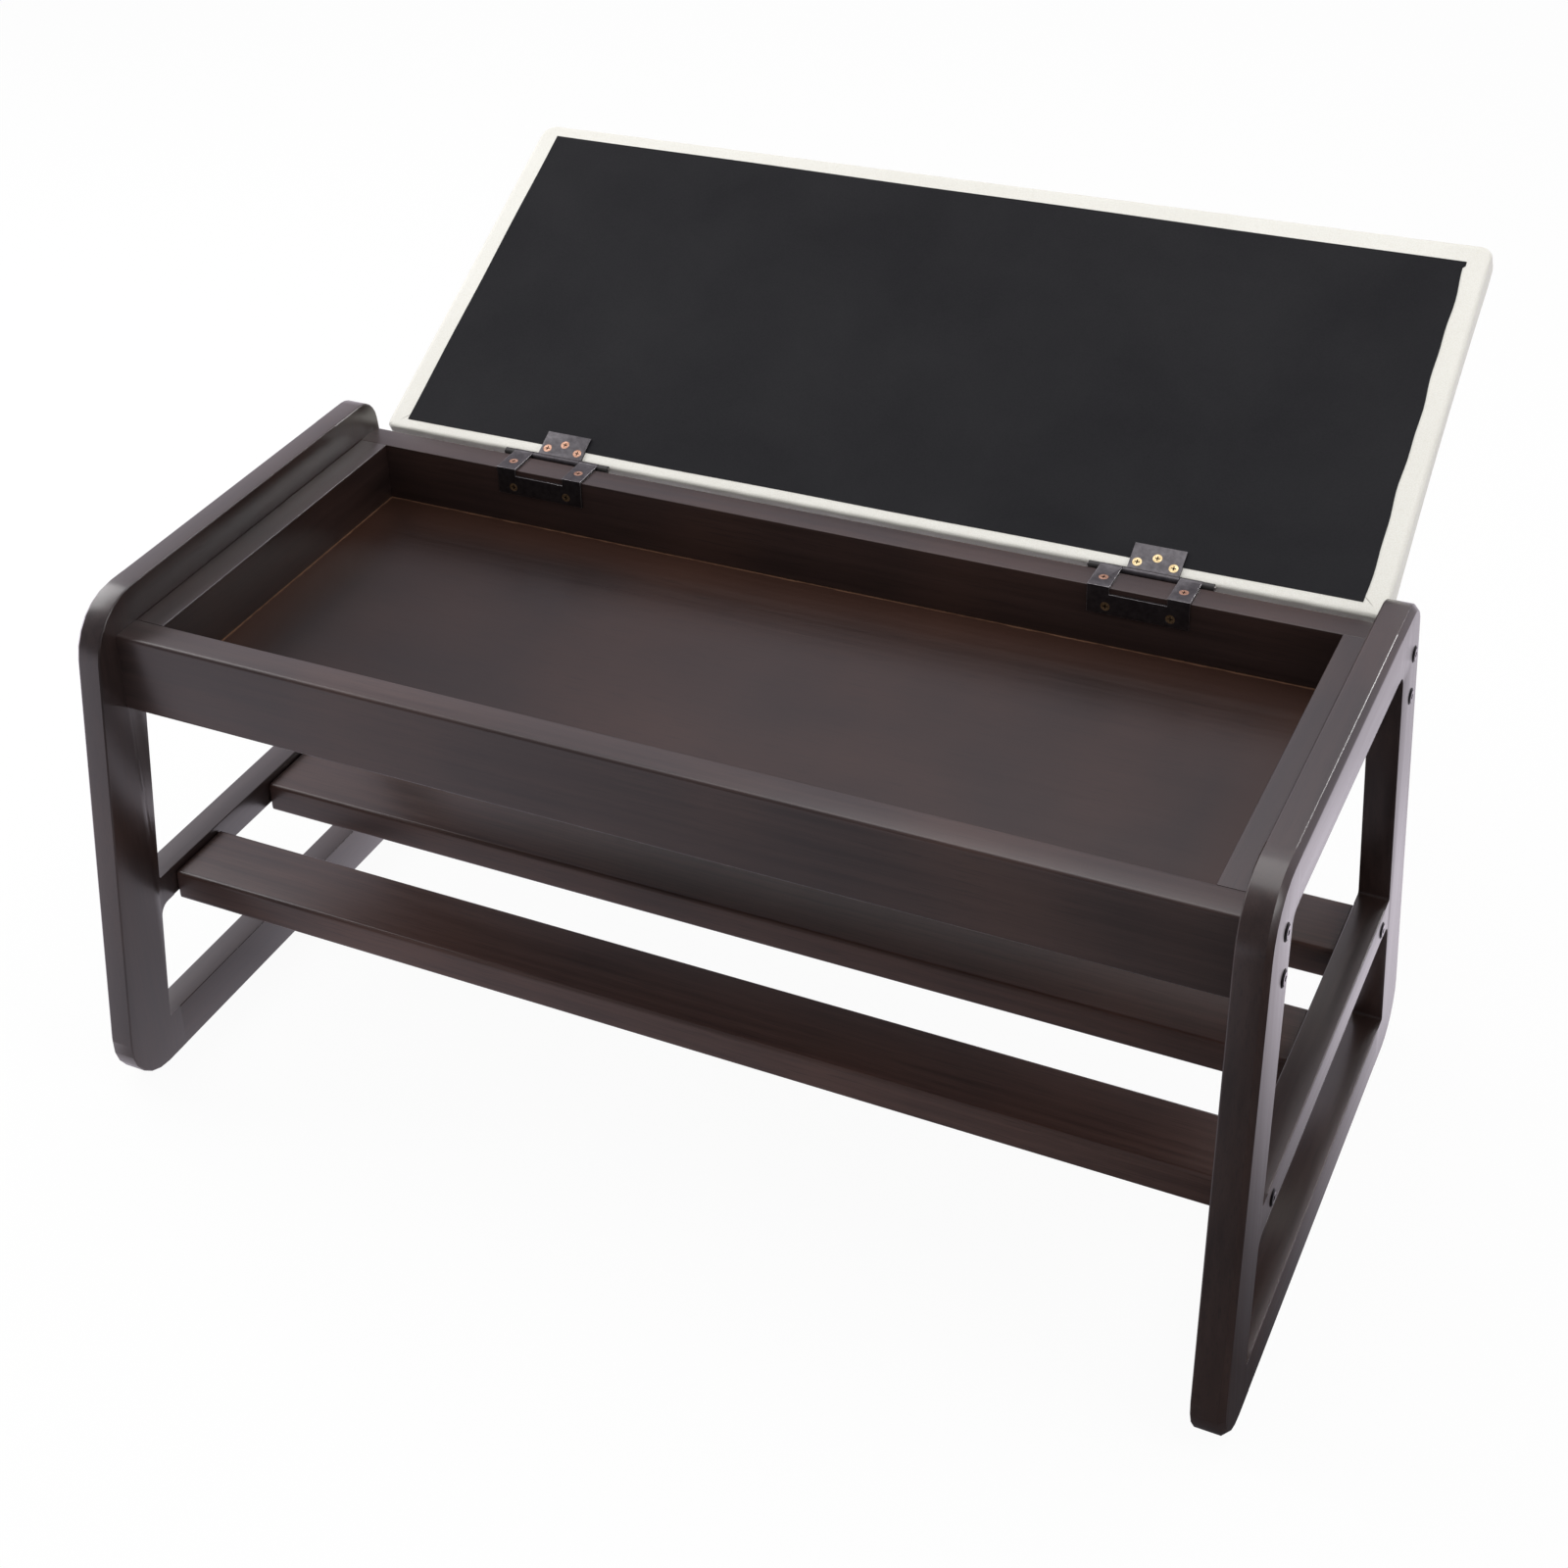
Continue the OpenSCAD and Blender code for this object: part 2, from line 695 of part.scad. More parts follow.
module seat_cover() {
    color(cream) open_lid() difference() {
        cushion(0, 0);
        cushion(0, cover_t);
        translate([0, 0, lid_z - cut]) fold_opening(0, cover_t + 2 * cut);
        leaf_screw_holes();
    }
}

module underside_lining() {
    color(lining) open_lid() difference() {
        translate([0, 0, lid_z + cover_t - lining_t]) fold_opening(board_gap, lining_t);
        leaf_screw_holes();
    }
}

module seat_board() {
    inset = cover_t + cushion_levels[0][1] + board_gap;
    r = lid_corner_r - cover_t;
    outline = rounded(box_corners(lid_l - 2 * inset, lid_d - 2 * inset), [r, r, r, r]);
    color(beech) open_lid() difference() {
        translate([0, lid_mid, lid_z + cover_t]) linear_extrude(board_t) polygon(outline);
        leaf_screw_holes();
    }
}

// Every piece is drawn about the bench's own middle, then moved to the origin
module placed() {
    translate([0, -box_mid_y, 0]) children();
}

placed() leg("left", -1);  // left_front_leg
placed() leg("left", 1);  // left_rear_leg
placed() rail("left", TOP);  // left_top_rail
placed() rail("left", BOTTOM);  // left_bottom_rail
placed() rung("left");  // left_rung
placed() leg("right", -1);  // right_front_leg
placed() leg("right", 1);  // right_rear_leg
placed() rail("right", TOP);  // right_top_rail
placed() rail("right", BOTTOM);  // right_bottom_rail
placed() rung("right");  // right_rung
placed() tray_bar(apron_y, apron_t, -1);  // front_apron
placed() tray_bar(rail_y, rear_rail_t, 1);  // rear_rail
placed() tray_wall("left");  // left_tray_wall
placed() tray_wall("right");  // right_tray_wall
placed() tray_floor();
placed() slat(-1);  // front_slat
placed() slat(0);  // middle_slat
placed() slat(1);  // rear_slat
placed() frame_dowels("left");  // left_frame_dowels
placed() frame_dowels("right");  // right_frame_dowels
placed() tray_dowels();
placed() slat_dowels();
placed() frame_screws("left");  // left_frame_screws
placed() frame_screws("right");  // right_frame_screws
placed() hinge_bracket("left");  // left_hinge_bracket
placed() hinge_pin("left");  // left_hinge_pin
placed() hinge_inserts("left");  // left_hinge_inserts
placed() bracket_screws("left");  // left_bracket_screws
placed() hinge_bracket("right");  // right_hinge_bracket
placed() hinge_pin("right");  // right_hinge_pin
placed() hinge_inserts("right");  // right_hinge_inserts
placed() bracket_screws("right");  // right_bracket_screws
placed() seat_board();
placed() seat_foam();
placed() seat_cover();
placed() underside_lining();
placed() hinge_leaf("left");  // left_hinge_leaf
placed() leaf_bush("left");  // left_leaf_bush
placed() leaf_screws("left");  // left_leaf_screws
placed() hinge_leaf("right");  // right_hinge_leaf
placed() leaf_bush("right");  // right_leaf_bush
placed() leaf_screws("right");  // right_leaf_screws
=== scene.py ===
import json
import math

import bmesh
import bpy
import numpy as np
from mathutils import Matrix, Vector

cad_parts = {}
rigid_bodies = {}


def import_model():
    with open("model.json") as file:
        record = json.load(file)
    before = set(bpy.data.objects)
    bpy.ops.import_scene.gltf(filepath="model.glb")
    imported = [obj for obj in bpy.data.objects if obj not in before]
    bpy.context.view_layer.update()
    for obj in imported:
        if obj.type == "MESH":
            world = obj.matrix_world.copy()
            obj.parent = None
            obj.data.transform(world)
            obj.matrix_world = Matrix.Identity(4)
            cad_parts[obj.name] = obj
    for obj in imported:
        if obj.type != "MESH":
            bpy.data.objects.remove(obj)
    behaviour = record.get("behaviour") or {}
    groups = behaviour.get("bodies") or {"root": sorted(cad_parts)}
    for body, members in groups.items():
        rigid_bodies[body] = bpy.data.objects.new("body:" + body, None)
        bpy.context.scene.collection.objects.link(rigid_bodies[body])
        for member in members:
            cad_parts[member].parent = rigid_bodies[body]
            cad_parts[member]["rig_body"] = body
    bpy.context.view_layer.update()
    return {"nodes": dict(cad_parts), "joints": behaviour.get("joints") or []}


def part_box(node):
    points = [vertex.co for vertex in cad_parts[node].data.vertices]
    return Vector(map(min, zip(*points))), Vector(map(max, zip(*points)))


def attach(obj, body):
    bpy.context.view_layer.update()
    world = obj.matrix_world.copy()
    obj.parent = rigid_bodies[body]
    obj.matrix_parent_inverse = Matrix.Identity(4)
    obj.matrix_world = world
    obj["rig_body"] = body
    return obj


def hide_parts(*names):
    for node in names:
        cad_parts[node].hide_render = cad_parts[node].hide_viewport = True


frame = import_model()


# Camera: it looks down on the open bench over its apron, from right of the middle, through a
# long lens held slightly askew. The picture is a square cut from a wider one, so the lens's
# axis lies left of and above its centre. Focal length and axis are in pixels of that square.
picture = 1600
focal = 2630.6
axis_x, axis_y = 650, 462.1
camera_place = (0.72897, -1.56180, 1.38364)
camera_yaw, camera_pitch, camera_roll = 0.51152, -0.48410, -0.06747

camera_data = bpy.data.cameras.new("camera")
camera_data.sensor_width = 36
camera_data.lens = camera_data.sensor_width * focal / picture
camera_data.shift_x = (picture / 2 - axis_x) / picture
camera_data.shift_y = (axis_y - picture / 2) / picture
camera_data.clip_start = 0.05
camera = bpy.data.objects.new("camera", camera_data)
bpy.context.scene.collection.objects.link(camera)
camera.matrix_world = (
    Matrix.Translation(camera_place)
    @ Matrix.Rotation(camera_yaw, 4, "Z")
    @ Matrix.Rotation(math.pi / 2 + camera_pitch, 4, "X")
    @ Matrix.Rotation(camera_roll, 4, "Z")
)
bpy.context.scene.camera = camera


# Side frames: two loops of solid wood, each of two splayed legs, a top rail, a bottom rail
# and a rung. Their outer faces are bevelled and the other edges only eased, and the whole is
# stained espresso and sprayed with a satin lacquer, so that the grain shows faintly.
frame_ease = 0.0008
leg_nodes = [f"{side}_{end}_leg" for side in ("left", "right") for end in ("front", "rear")]
rail_nodes = [
    f"{side}_{bar}" for side in ("left", "right") for bar in ("top_rail", "bottom_rail", "rung")]
stain_deep = (0.0135, 0.0080, 0.0074, 1)
stain_mid = (0.0310, 0.0172, 0.0150, 1)
stain_warm = (0.0520, 0.0250, 0.0185, 1)
weld_distance = 2e-6
flat_angle, crease_angle, sharp_angle = math.radians(0.5), math.radians(35), math.radians(40)


def material_of(name):
    """A new material with its node tree and its shader."""
    material = bpy.data.materials.new(name)
    material.use_nodes = True
    return material, material.node_tree, material.node_tree.nodes["Principled BSDF"]


def add(tree, kind, inputs=None, **settings):
    """A shader node with its settings, and its inputs as values or as sockets to link from."""
    node = tree.nodes.new("ShaderNode" + kind)
    for name, value in settings.items():
        setattr(node, name, value)
    for name, value in (inputs or {}).items():
        if isinstance(value, bpy.types.NodeSocket):
            tree.links.new(value, node.inputs[name])
        else:
            node.inputs[name].default_value = value
    return node


def place_noise(tree, scale, detail=4, roughness=0.5, distortion=0.0):
    """Noise whose scale along X, Y and Z is given in cycles per metre."""
    place = add(tree, "TexCoord").outputs["Object"]
    stretched = add(tree, "Mapping", {"Vector": place, "Scale": scale})
    return add(tree, "TexNoise", {
        "Vector": stretched.outputs[0], "Scale": 1, "Detail": detail,
        "Roughness": roughness, "Distortion": distortion,
    }).outputs["Fac"]


def ranged(tree, value, low, high, to_low=0.0, to_high=1.0):
    """The value carried over from low..high to to_low..to_high, and held at their ends."""
    return add(tree, "MapRange", {
        "Value": value, "From Min": low, "From Max": high, "To Min": to_low, "To Max": to_high,
    }).outputs[0]


def combined(tree, operation, a, b=0.0):
    """The result of a Math node for two values or sockets."""
    return add(tree, "Math", {0: a, 1: b}, operation=operation).outputs[0]


def mixed(tree, factor, a, b, blend="MIX"):
    """Two colours mixed. The node has its factor in socket 0 and its colours in sockets 6 and 7."""
    node = add(tree, "Mix", data_type="RGBA", blend_type=blend)
    for socket, value in zip((node.inputs[0], node.inputs[6], node.inputs[7]), (factor, a, b)):
        if isinstance(value, bpy.types.NodeSocket):
            tree.links.new(value, socket)
        else:
            socket.default_value = value
    return node.outputs[2]


def bumped(tree, shader, height, strength, distance):
    """Links a bump of the height given to the shader."""
    bump = add(tree, "Bump", {"Height": height, "Strength": strength, "Distance": distance})
    tree.links.new(bump.outputs[0], shader.inputs["Normal"])


def stained_wood(
        name, along, sheen=0.32, figure=0.8, lacquer=0.35, stain=(stain_deep, stain_mid, stain_warm)):
    """Espresso stain over fine straight grain that runs along axis 0, 1 or 2. figure is how much
    of the step from deep to mid stain the grain takes, and lacquer the weight of the clear coat."""
    deep, mid, warm = stain
    material, tree, shader = material_of(name)
    streaks, pores = [170.0] * 3, [1200.0] * 3
    streaks[along], pores[along] = 4.0, 30.0
    streak = place_noise(tree, streaks, 3, 0.62, 0.2)
    pore = ranged(tree, place_noise(tree, pores, 1, 0.6), 0.56, 0.70)
    cloud = place_noise(tree, (6.0, 6.0, 6.0), 2, 0.5)
    share = ranged(tree, streak, 0.30, 0.70, 0.5 - figure / 2, 0.5 + figure / 2)
    grain = mixed(tree, share, deep, mid)
    clouded = mixed(tree, ranged(tree, cloud, 0.40, 0.70, 0.0, 0.5), grain, warm)
    pored = mixed(tree, ranged(tree, pore, 0, 1, 0, 0.6), clouded, deep)
    tree.links.new(pored, shader.inputs["Base Color"])
    tree.links.new(
        ranged(tree, streak, 0.25, 0.75, sheen - 0.04, sheen + 0.06), shader.inputs["Roughness"])
    shader.inputs["Specular IOR Level"].default_value = 0.5
    shader.inputs["Coat Weight"].default_value = lacquer
    shader.inputs["Coat Roughness"].default_value = 0.24
    bumped(tree, shader, streak, 0.04 + 0.08 * figure, 0.0004)
    return material


def dressed(node, materials, ease=0.0, joint_axis=None, paint=None):
    """A copy of a CAD node with its sharp edges eased, apart from those of the faces that butt
    against a neighbour along joint_axis. Faces take the material that paint(face) numbers, and
    eased edges the last one."""
    source = frame["nodes"][node]
    mesh = source.data.copy()
    mesh.materials.clear()
    for material in materials:
        mesh.materials.append(material)
    bm = bmesh.new()
    bm.from_mesh(mesh)
    bmesh.ops.remove_doubles(bm, verts=bm.verts, dist=weld_distance)
    bmesh.ops.dissolve_limit(bm, angle_limit=flat_angle, verts=bm.verts, edges=bm.edges)
    bm.normal_update()
    for face in bm.faces:
        face.smooth = True
        face.material_index = paint(face) if paint else 0
    if ease:
        edges = [
            e for e in bm.edges
            if len(e.link_faces) == 2
            and e.calc_face_angle(0) > sharp_angle
            and e.calc_length() > 2 * ease
            and not (
                joint_axis is not None
                and any(abs(f.normal[joint_axis]) > 0.999 for f in e.link_faces))
        ]
        bmesh.ops.bevel(
            bm, geom=edges, offset=ease, segments=3, profile=0.5, affect="EDGES",
            clamp_overlap=True, material=len(materials) - 1)
    for edge in bm.edges:
        edge.smooth = not (edge.is_manifold and edge.calc_face_angle(0) > crease_angle)
    bm.to_mesh(mesh)
    bm.free()
    for layer in [a.name for a in mesh.attributes if a.name == "custom_normal"]:
        mesh.attributes.remove(mesh.attributes[layer])
    piece = bpy.data.objects.new(node + "_piece", mesh)
    bpy.context.scene.collection.objects.link(piece)
    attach(piece, source["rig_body"])
    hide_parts(node)
    return piece


upright_wood = stained_wood("upright_wood", 2, lacquer=0.8)
crosswise_wood = stained_wood("crosswise_wood", 1, lacquer=0.8)
for node in leg_nodes:
    dressed(node, [upright_wood], frame_ease, 1)
for node in rail_nodes:
    dressed(node, [crosswise_wood], frame_ease, 1)


# Tray: a front apron and a rear rail run between the side frames, with end walls between them.
# The apron and the rail take a lighter copy of the frames' stain, which is painted light, and all their
# rims are eased.
tray_ease = 0.0006
# Painted light: the frames' stain made lighter for the apron and the rear rail.
lit_rail_stain = (
    (0.0175, 0.0105, 0.0097, 1), (0.0400, 0.0225, 0.0198, 1), (0.0670, 0.0330, 0.0245, 1))
lengthwise_wood = stained_wood("lengthwise_wood", 0, stain=lit_rail_stain)
for node in ("front_apron", "rear_rail"):
    dressed(node, [lengthwise_wood], tray_ease, 0)
for node in ("left_tray_wall", "right_tray_wall"):
    dressed(node, [crosswise_wood], tray_ease, 1)


# Tray floor: a thin stained panel with a fine open grain, held in grooves. Its colour is a little
# lighter and redder within a few centimetres of the walls, with a thin ragged line of bare wood along
# the joint. Towards its left end it is darkened as painted shade and reflects less.
def tray_panel():
    """The tray floor's wood, with its colour by the distance from the walls, and darkened towards its
    left end as painted shade.
    """
    near_wall_red, bare_wood = (0.062, 0.027, 0.017, 1), (0.20, 0.105, 0.065, 1)
    # Painted shade: the stain's colour towards the floor's left end.
    left_painted_shade = (0.0060, 0.0042, 0.0040, 1)
    red_reach, line_start, line_end = 0.05, 0.0004, 0.0016
    material = stained_wood("tray_floor_wood", 0, 0.31, 0.3, 0.08)
    tree = material.node_tree
    shader = tree.nodes["Principled BSDF"]
    stain = shader.inputs["Base Color"].links[0].from_socket
    place = add(tree, "SeparateXYZ", {0: add(tree, "TexCoord").outputs["Object"]})
    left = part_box("left_tray_wall")[1].x
    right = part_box("right_tray_wall")[0].x
    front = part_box("front_apron")[1].y
    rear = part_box("rear_rail")[0].y
    gaps = []
    for axis, low, high in (("X", left, right), ("Y", front, rear)):
        off_middle = combined(tree, "SUBTRACT", place.outputs[axis], (low + high) / 2)
        off = combined(tree, "ABSOLUTE", off_middle)
        gaps.append(combined(tree, "SUBTRACT", (high - low) / 2, off))
    gap = combined(tree, "MINIMUM", gaps[0], gaps[1])
    # Painted shade: the colour darkens towards the left end, where the floor also reflects less.
    to_left = ranged(tree, place.outputs["X"], left, (left + right) / 2, 0.5, 0.0)
    left_shaded = mixed(tree, to_left, stain, left_painted_shade)
    tree.links.new(
        ranged(tree, to_left, 0.0, 0.5, 0.42, 0.12), shader.inputs["Specular IOR Level"])
    worn = place_noise(tree, (60.0, 60.0, 60.0), 2, 0.6)
    ragged = combined(tree, "ADD", gap, ranged(tree, worn, 0.3, 0.7, -0.0006, 0.0008))
    red = mixed(tree, ranged(tree, gap, 0.0, red_reach, 0.55, 0.0), left_shaded, near_wall_red)
    line = mixed(tree, ranged(tree, ragged, line_start, line_end, 0.8, 0.0), red, bare_wood)
    tree.links.new(line, shader.inputs["Base Color"])
    return material


dressed("tray_floor", [tray_panel()])


# Slats: three bars with rounded edges between the rungs, which hold the shoes. Their stain is a little
# redder than the frames', and lighter as painted light on their tops.
slat_ease = 0.0005
# Painted light: the stain is lightened to stand in for light on the slats.
lit_slat_stain = ((0.029, 0.0145, 0.0122, 1), (0.068, 0.0345, 0.0278, 1), (0.104, 0.048, 0.035, 1))
slat_wood = stained_wood("slat_wood", 0, 0.34, 1.0, 0.2, lit_slat_stain)
for node in ("front_slat", "middle_slat", "rear_slat"):
    dressed(node, [slat_wood], slat_ease, 0)


# Dowels: fluted beech pins, glued into the joints of the frames, the tray and the slats, and out
# of sight there.
def two_toned(name, noise, contrast, dark, light, roughness, relief):
    """A plain material between two tones. noise holds the noise's scale, detail, roughness and
    distortion, and contrast the noise values at which it is all dark and all light."""
    material, tree, shader = material_of(name)
    grain = place_noise(tree, *noise)
    tree.links.new(mixed(tree, ranged(tree, grain, *contrast), dark, light), shader.inputs["Base Color"])
    shader.inputs["Roughness"].default_value = roughness
    bumped(tree, shader, grain, 0.3, relief)
    return material


def finish_node(node, material):
    """Gives a CAD node that stays as it is its material."""
    mesh = frame["nodes"][node].data
    mesh.materials.clear()
    mesh.materials.append(material)


dowel_wood = two_toned(
    "dowel_beech", ((300.0, 300.0, 300.0), 5, 0.6, 0.0), (0.3, 0.7),
    (0.48, 0.30, 0.16, 1), (0.62, 0.43, 0.26, 1), 0.7, 0.0003)
for node in ("left_frame_dowels", "right_frame_dowels", "tray_dowels", "slat_dowels"):
    finish_node(node, dowel_wood)


# Frame screws: zinc screws with a hex socket, whose flat bevelled heads stand on the frames' outer
# faces. The heads' flats keep the zinc's colour, and the heads' sides and sockets are painted near black
# as shade. They hold the apron, the rear rail and the outer slats.
def plated_steel(name, dark, light, roughness, fine=900.0):
    """Metal in two blotchy tones, with specks of fine cycles per metre in its roughness."""
    material, tree, shader = material_of(name)
    patch = place_noise(tree, (fine / 6, fine / 6, fine / 6), 2, 0.6)
    speck = place_noise(tree, (fine, fine, fine), 1, 0.6)
    tree.links.new(mixed(tree, ranged(tree, patch, 0.3, 0.7), dark, light), shader.inputs["Base Color"])
    tree.links.new(
        ranged(tree, speck, 0.3, 0.7, roughness - 0.07, roughness + 0.10), shader.inputs["Roughness"])
    shader.inputs["Metallic"].default_value = 1.0
    bumped(tree, shader, speck, 0.25, 0.00006)
    return material


def screw_paint(node, looks):
    """Numbers the faces of a node of screws: the flat face of each head by the way that it looks,
    and all other faces after those."""
    head_depth = 0.0003
    points = [v.co for v in frame["nodes"][node].data.vertices]
    reach = [max(p.dot(look) for p in points) for look in looks]

    def paint(face):
        middle = face.calc_center_median()
        for number, (look, far) in enumerate(zip(looks, reach)):
            if face.normal.dot(look) > 0.9 and middle.dot(look) > far - head_depth:
                return number
        return len(looks)
    return paint


head_zinc = plated_steel("polished_zinc", (0.38, 0.36, 0.38, 1), (0.56, 0.54, 0.56, 1), 0.28)
# Painted shade: a near-black copy of the zinc for the heads' sides and sockets.
painted_shade_zinc = plated_steel("painted_shade_zinc", (0.003, 0.003, 0.003, 1), (0.010, 0.009, 0.010, 1), 0.40)
for node, outward in (("left_frame_screws", -1), ("right_frame_screws", 1)):
    head_or_not = screw_paint(node, (Vector((outward, 0, 0)),))
    dressed(node, [head_zinc, painted_shade_zinc], paint=head_or_not)


# Lid hinges: blackened steel sheet, folded over the rear rail. Two tabs lie on the rail and join
# in a flange inside the tray, and a narrower leaf goes up under the lid. The sheet is worn bright
# along its edges. Some of the screws are brass-coloured and some copper-coloured.
hinge_ease = 0.0004
hinge_steel = plated_steel(
    "blackened_steel", (0.078, 0.074, 0.078, 1), (0.120, 0.114, 0.120, 1), 0.38, 1400.0)
worn_steel = plated_steel("worn_steel", (0.22, 0.21, 0.21, 1), (0.46, 0.45, 0.46, 1), 0.30, 2200.0)
pin_steel = plated_steel("turned_steel", (0.20, 0.19, 0.18, 1), (0.38, 0.36, 0.34, 1), 0.32)
brass = plated_steel("passivated_brass", (0.42, 0.31, 0.15, 1), (0.74, 0.60, 0.36, 1), 0.30, 1800.0)
copper = plated_steel("copper_plate", (0.46, 0.24, 0.15, 1), (0.80, 0.50, 0.36, 1), 0.30, 1800.0)
# Painted shade: the screws' sockets and the sides of their heads are painted dark brown.
painted_recess_shade = plated_steel(
    "screw_painted_shade", (0.030, 0.022, 0.014, 1), (0.085, 0.060, 0.036, 1), 0.55, 1800.0)
hinge = frame["joints"][0]
pin = Vector(hinge["pos_m"])
open_angle = math.radians(hinge["range_deg"][1])
open_turn = (
    Matrix.Translation(pin) @ Matrix.Rotation(-open_angle, 4, "X") @ Matrix.Translation(-pin))
leaf_look = open_turn.to_3x3() @ Vector((0, 0, -1))


hinge_polymer = two_toned(
    "hinge_polymer", ((2500.0, 2500.0, 2500.0), 3, 0.6, 0.0), (0.0, 1.0),
    (0.012, 0.011, 0.011, 1), (0.035, 0.033, 0.031, 1), 0.5, 0.00005)
for side, leaf_screw in (("left", copper), ("right", brass)):
    dressed(side + "_hinge_bracket", [hinge_steel, worn_steel], hinge_ease)
    dressed(side + "_hinge_leaf", [hinge_steel, worn_steel], hinge_ease)
    in_bracket, in_leaf = side + "_bracket_screws", side + "_leaf_screws"
    tab_and_flange = screw_paint(in_bracket, (Vector((0, 0, 1)), Vector((0, -1, 0))))
    dressed(in_bracket, [copper, brass, painted_recess_shade], paint=tab_and_flange)
    dressed(in_leaf, [leaf_screw, painted_recess_shade], paint=screw_paint(in_leaf, (leaf_look,)))
    dressed(side + "_hinge_pin", [pin_steel])
    dressed(side + "_hinge_inserts", [hinge_polymer], hinge_ease)
    finish_node(side + "_leaf_bush", hinge_polymer)


# Seat board: plywood under the foam, wholly wrapped by the cover and the lining. The hinges'
# leaves are screwed to it.
finish_node("seat_board", two_toned(
    "seat_plywood", ((6.0, 180.0, 180.0), 6, 0.6, 0.3), (0.3, 0.7),
    (0.46, 0.31, 0.18, 1), (0.66, 0.50, 0.32, 1), 0.75, 0.0004))


# Seat cushion: foam under a cream leatherette cover that is pulled down over the board's edge
# and folded under it, with mitred corners. It is shaped with the lid closed, as upholstered,
# and then turned about the hinge pin to where the lid stands open.
close_turn = open_turn.inverted()
closed_cover = np.array([close_turn @ v.co for v in frame["nodes"]["seat_cover"].data.vertices])
cover_low, cover_high = closed_cover.min(0), closed_cover.max(0)

half_length = (cover_high[0] - cover_low[0]) / 2
front_y, rear_y = cover_low[1] + 0.001, cover_high[1] - 0.001
middle_y, half_depth = (front_y + rear_y) / 2, (rear_y - front_y) / 2
board_top, foam_top, crown = 0.0132, 0.0472, 0.0055
front_left_radius, front_right_radius, rear_radius, least_radius = 0.012, 0.008, 0.004, 0.0006
shoulder, shoulder_drop = 0.016, 0.9
side_softness, top_softness, side_bulge = 0.008, 0.024, 0.0012
hem_heights, edge_radius = (0.0095, 0.0066), 0.0032
fold_insets, fold_width = (0.0065, 0.0095, 0.0130, 0.0170, 0.0215), 0.026
fine_cell, coarse_cell, fine_band = 0.003, 0.008, 0.024


def grid_lines(low, high):
    """Places of the grid's lines from low to high, closer together in a band at each end."""
    fine = int(round(fine_band / fine_cell))
    coarse = int(round((high - low - 2 * fine_band) / coarse_cell))
    return np.concatenate([
        np.linspace(low, low + fine_band, fine + 1)[:-1],
        np.linspace(low + fine_band, high - fine_band, coarse + 1),
        np.linspace(high - fine_band, high, fine + 1)[1:],
    ])


def in_outline(x, y, inset, soften=0.0):
    """Moves points of the lid's rectangle to one level's rounded outline. inset is how far that
    level lies inside the lid's own outline, and soften widens its corners."""
    half = half_length - inset
    low, high = front_y + inset, rear_y - inset
    middle, depth = (low + high) / 2, (high - low) / 2
    px = x / half_length * half
    py = low + (y - front_y) / (rear_y - front_y) * (high - low)
    front_radius = np.where(px < 0, front_left_radius, front_right_radius)
    radius = np.where(py > middle, rear_radius, front_radius) + soften - max(inset, 0)
    radius = np.maximum(radius, least_radius)
    s = np.clip((np.abs(px) - (half - radius)) / radius, 0, 1)
    t = np.clip((np.abs(py - middle) - (depth - radius)) / radius, 0, 1)
    corner = (s > 0) & (t > 0)
    sx = np.where(corner, s * np.sqrt(1 - t * t / 2), s)
    ty = np.where(corner, t * np.sqrt(1 - s * s / 2), t)
    qx = np.where(s > 0, np.sign(px) * (half - radius + radius * sx), px)
    qy = np.where(t > 0, middle + np.sign(py - middle) * (depth - radius + radius * ty), py)
    return qx, qy


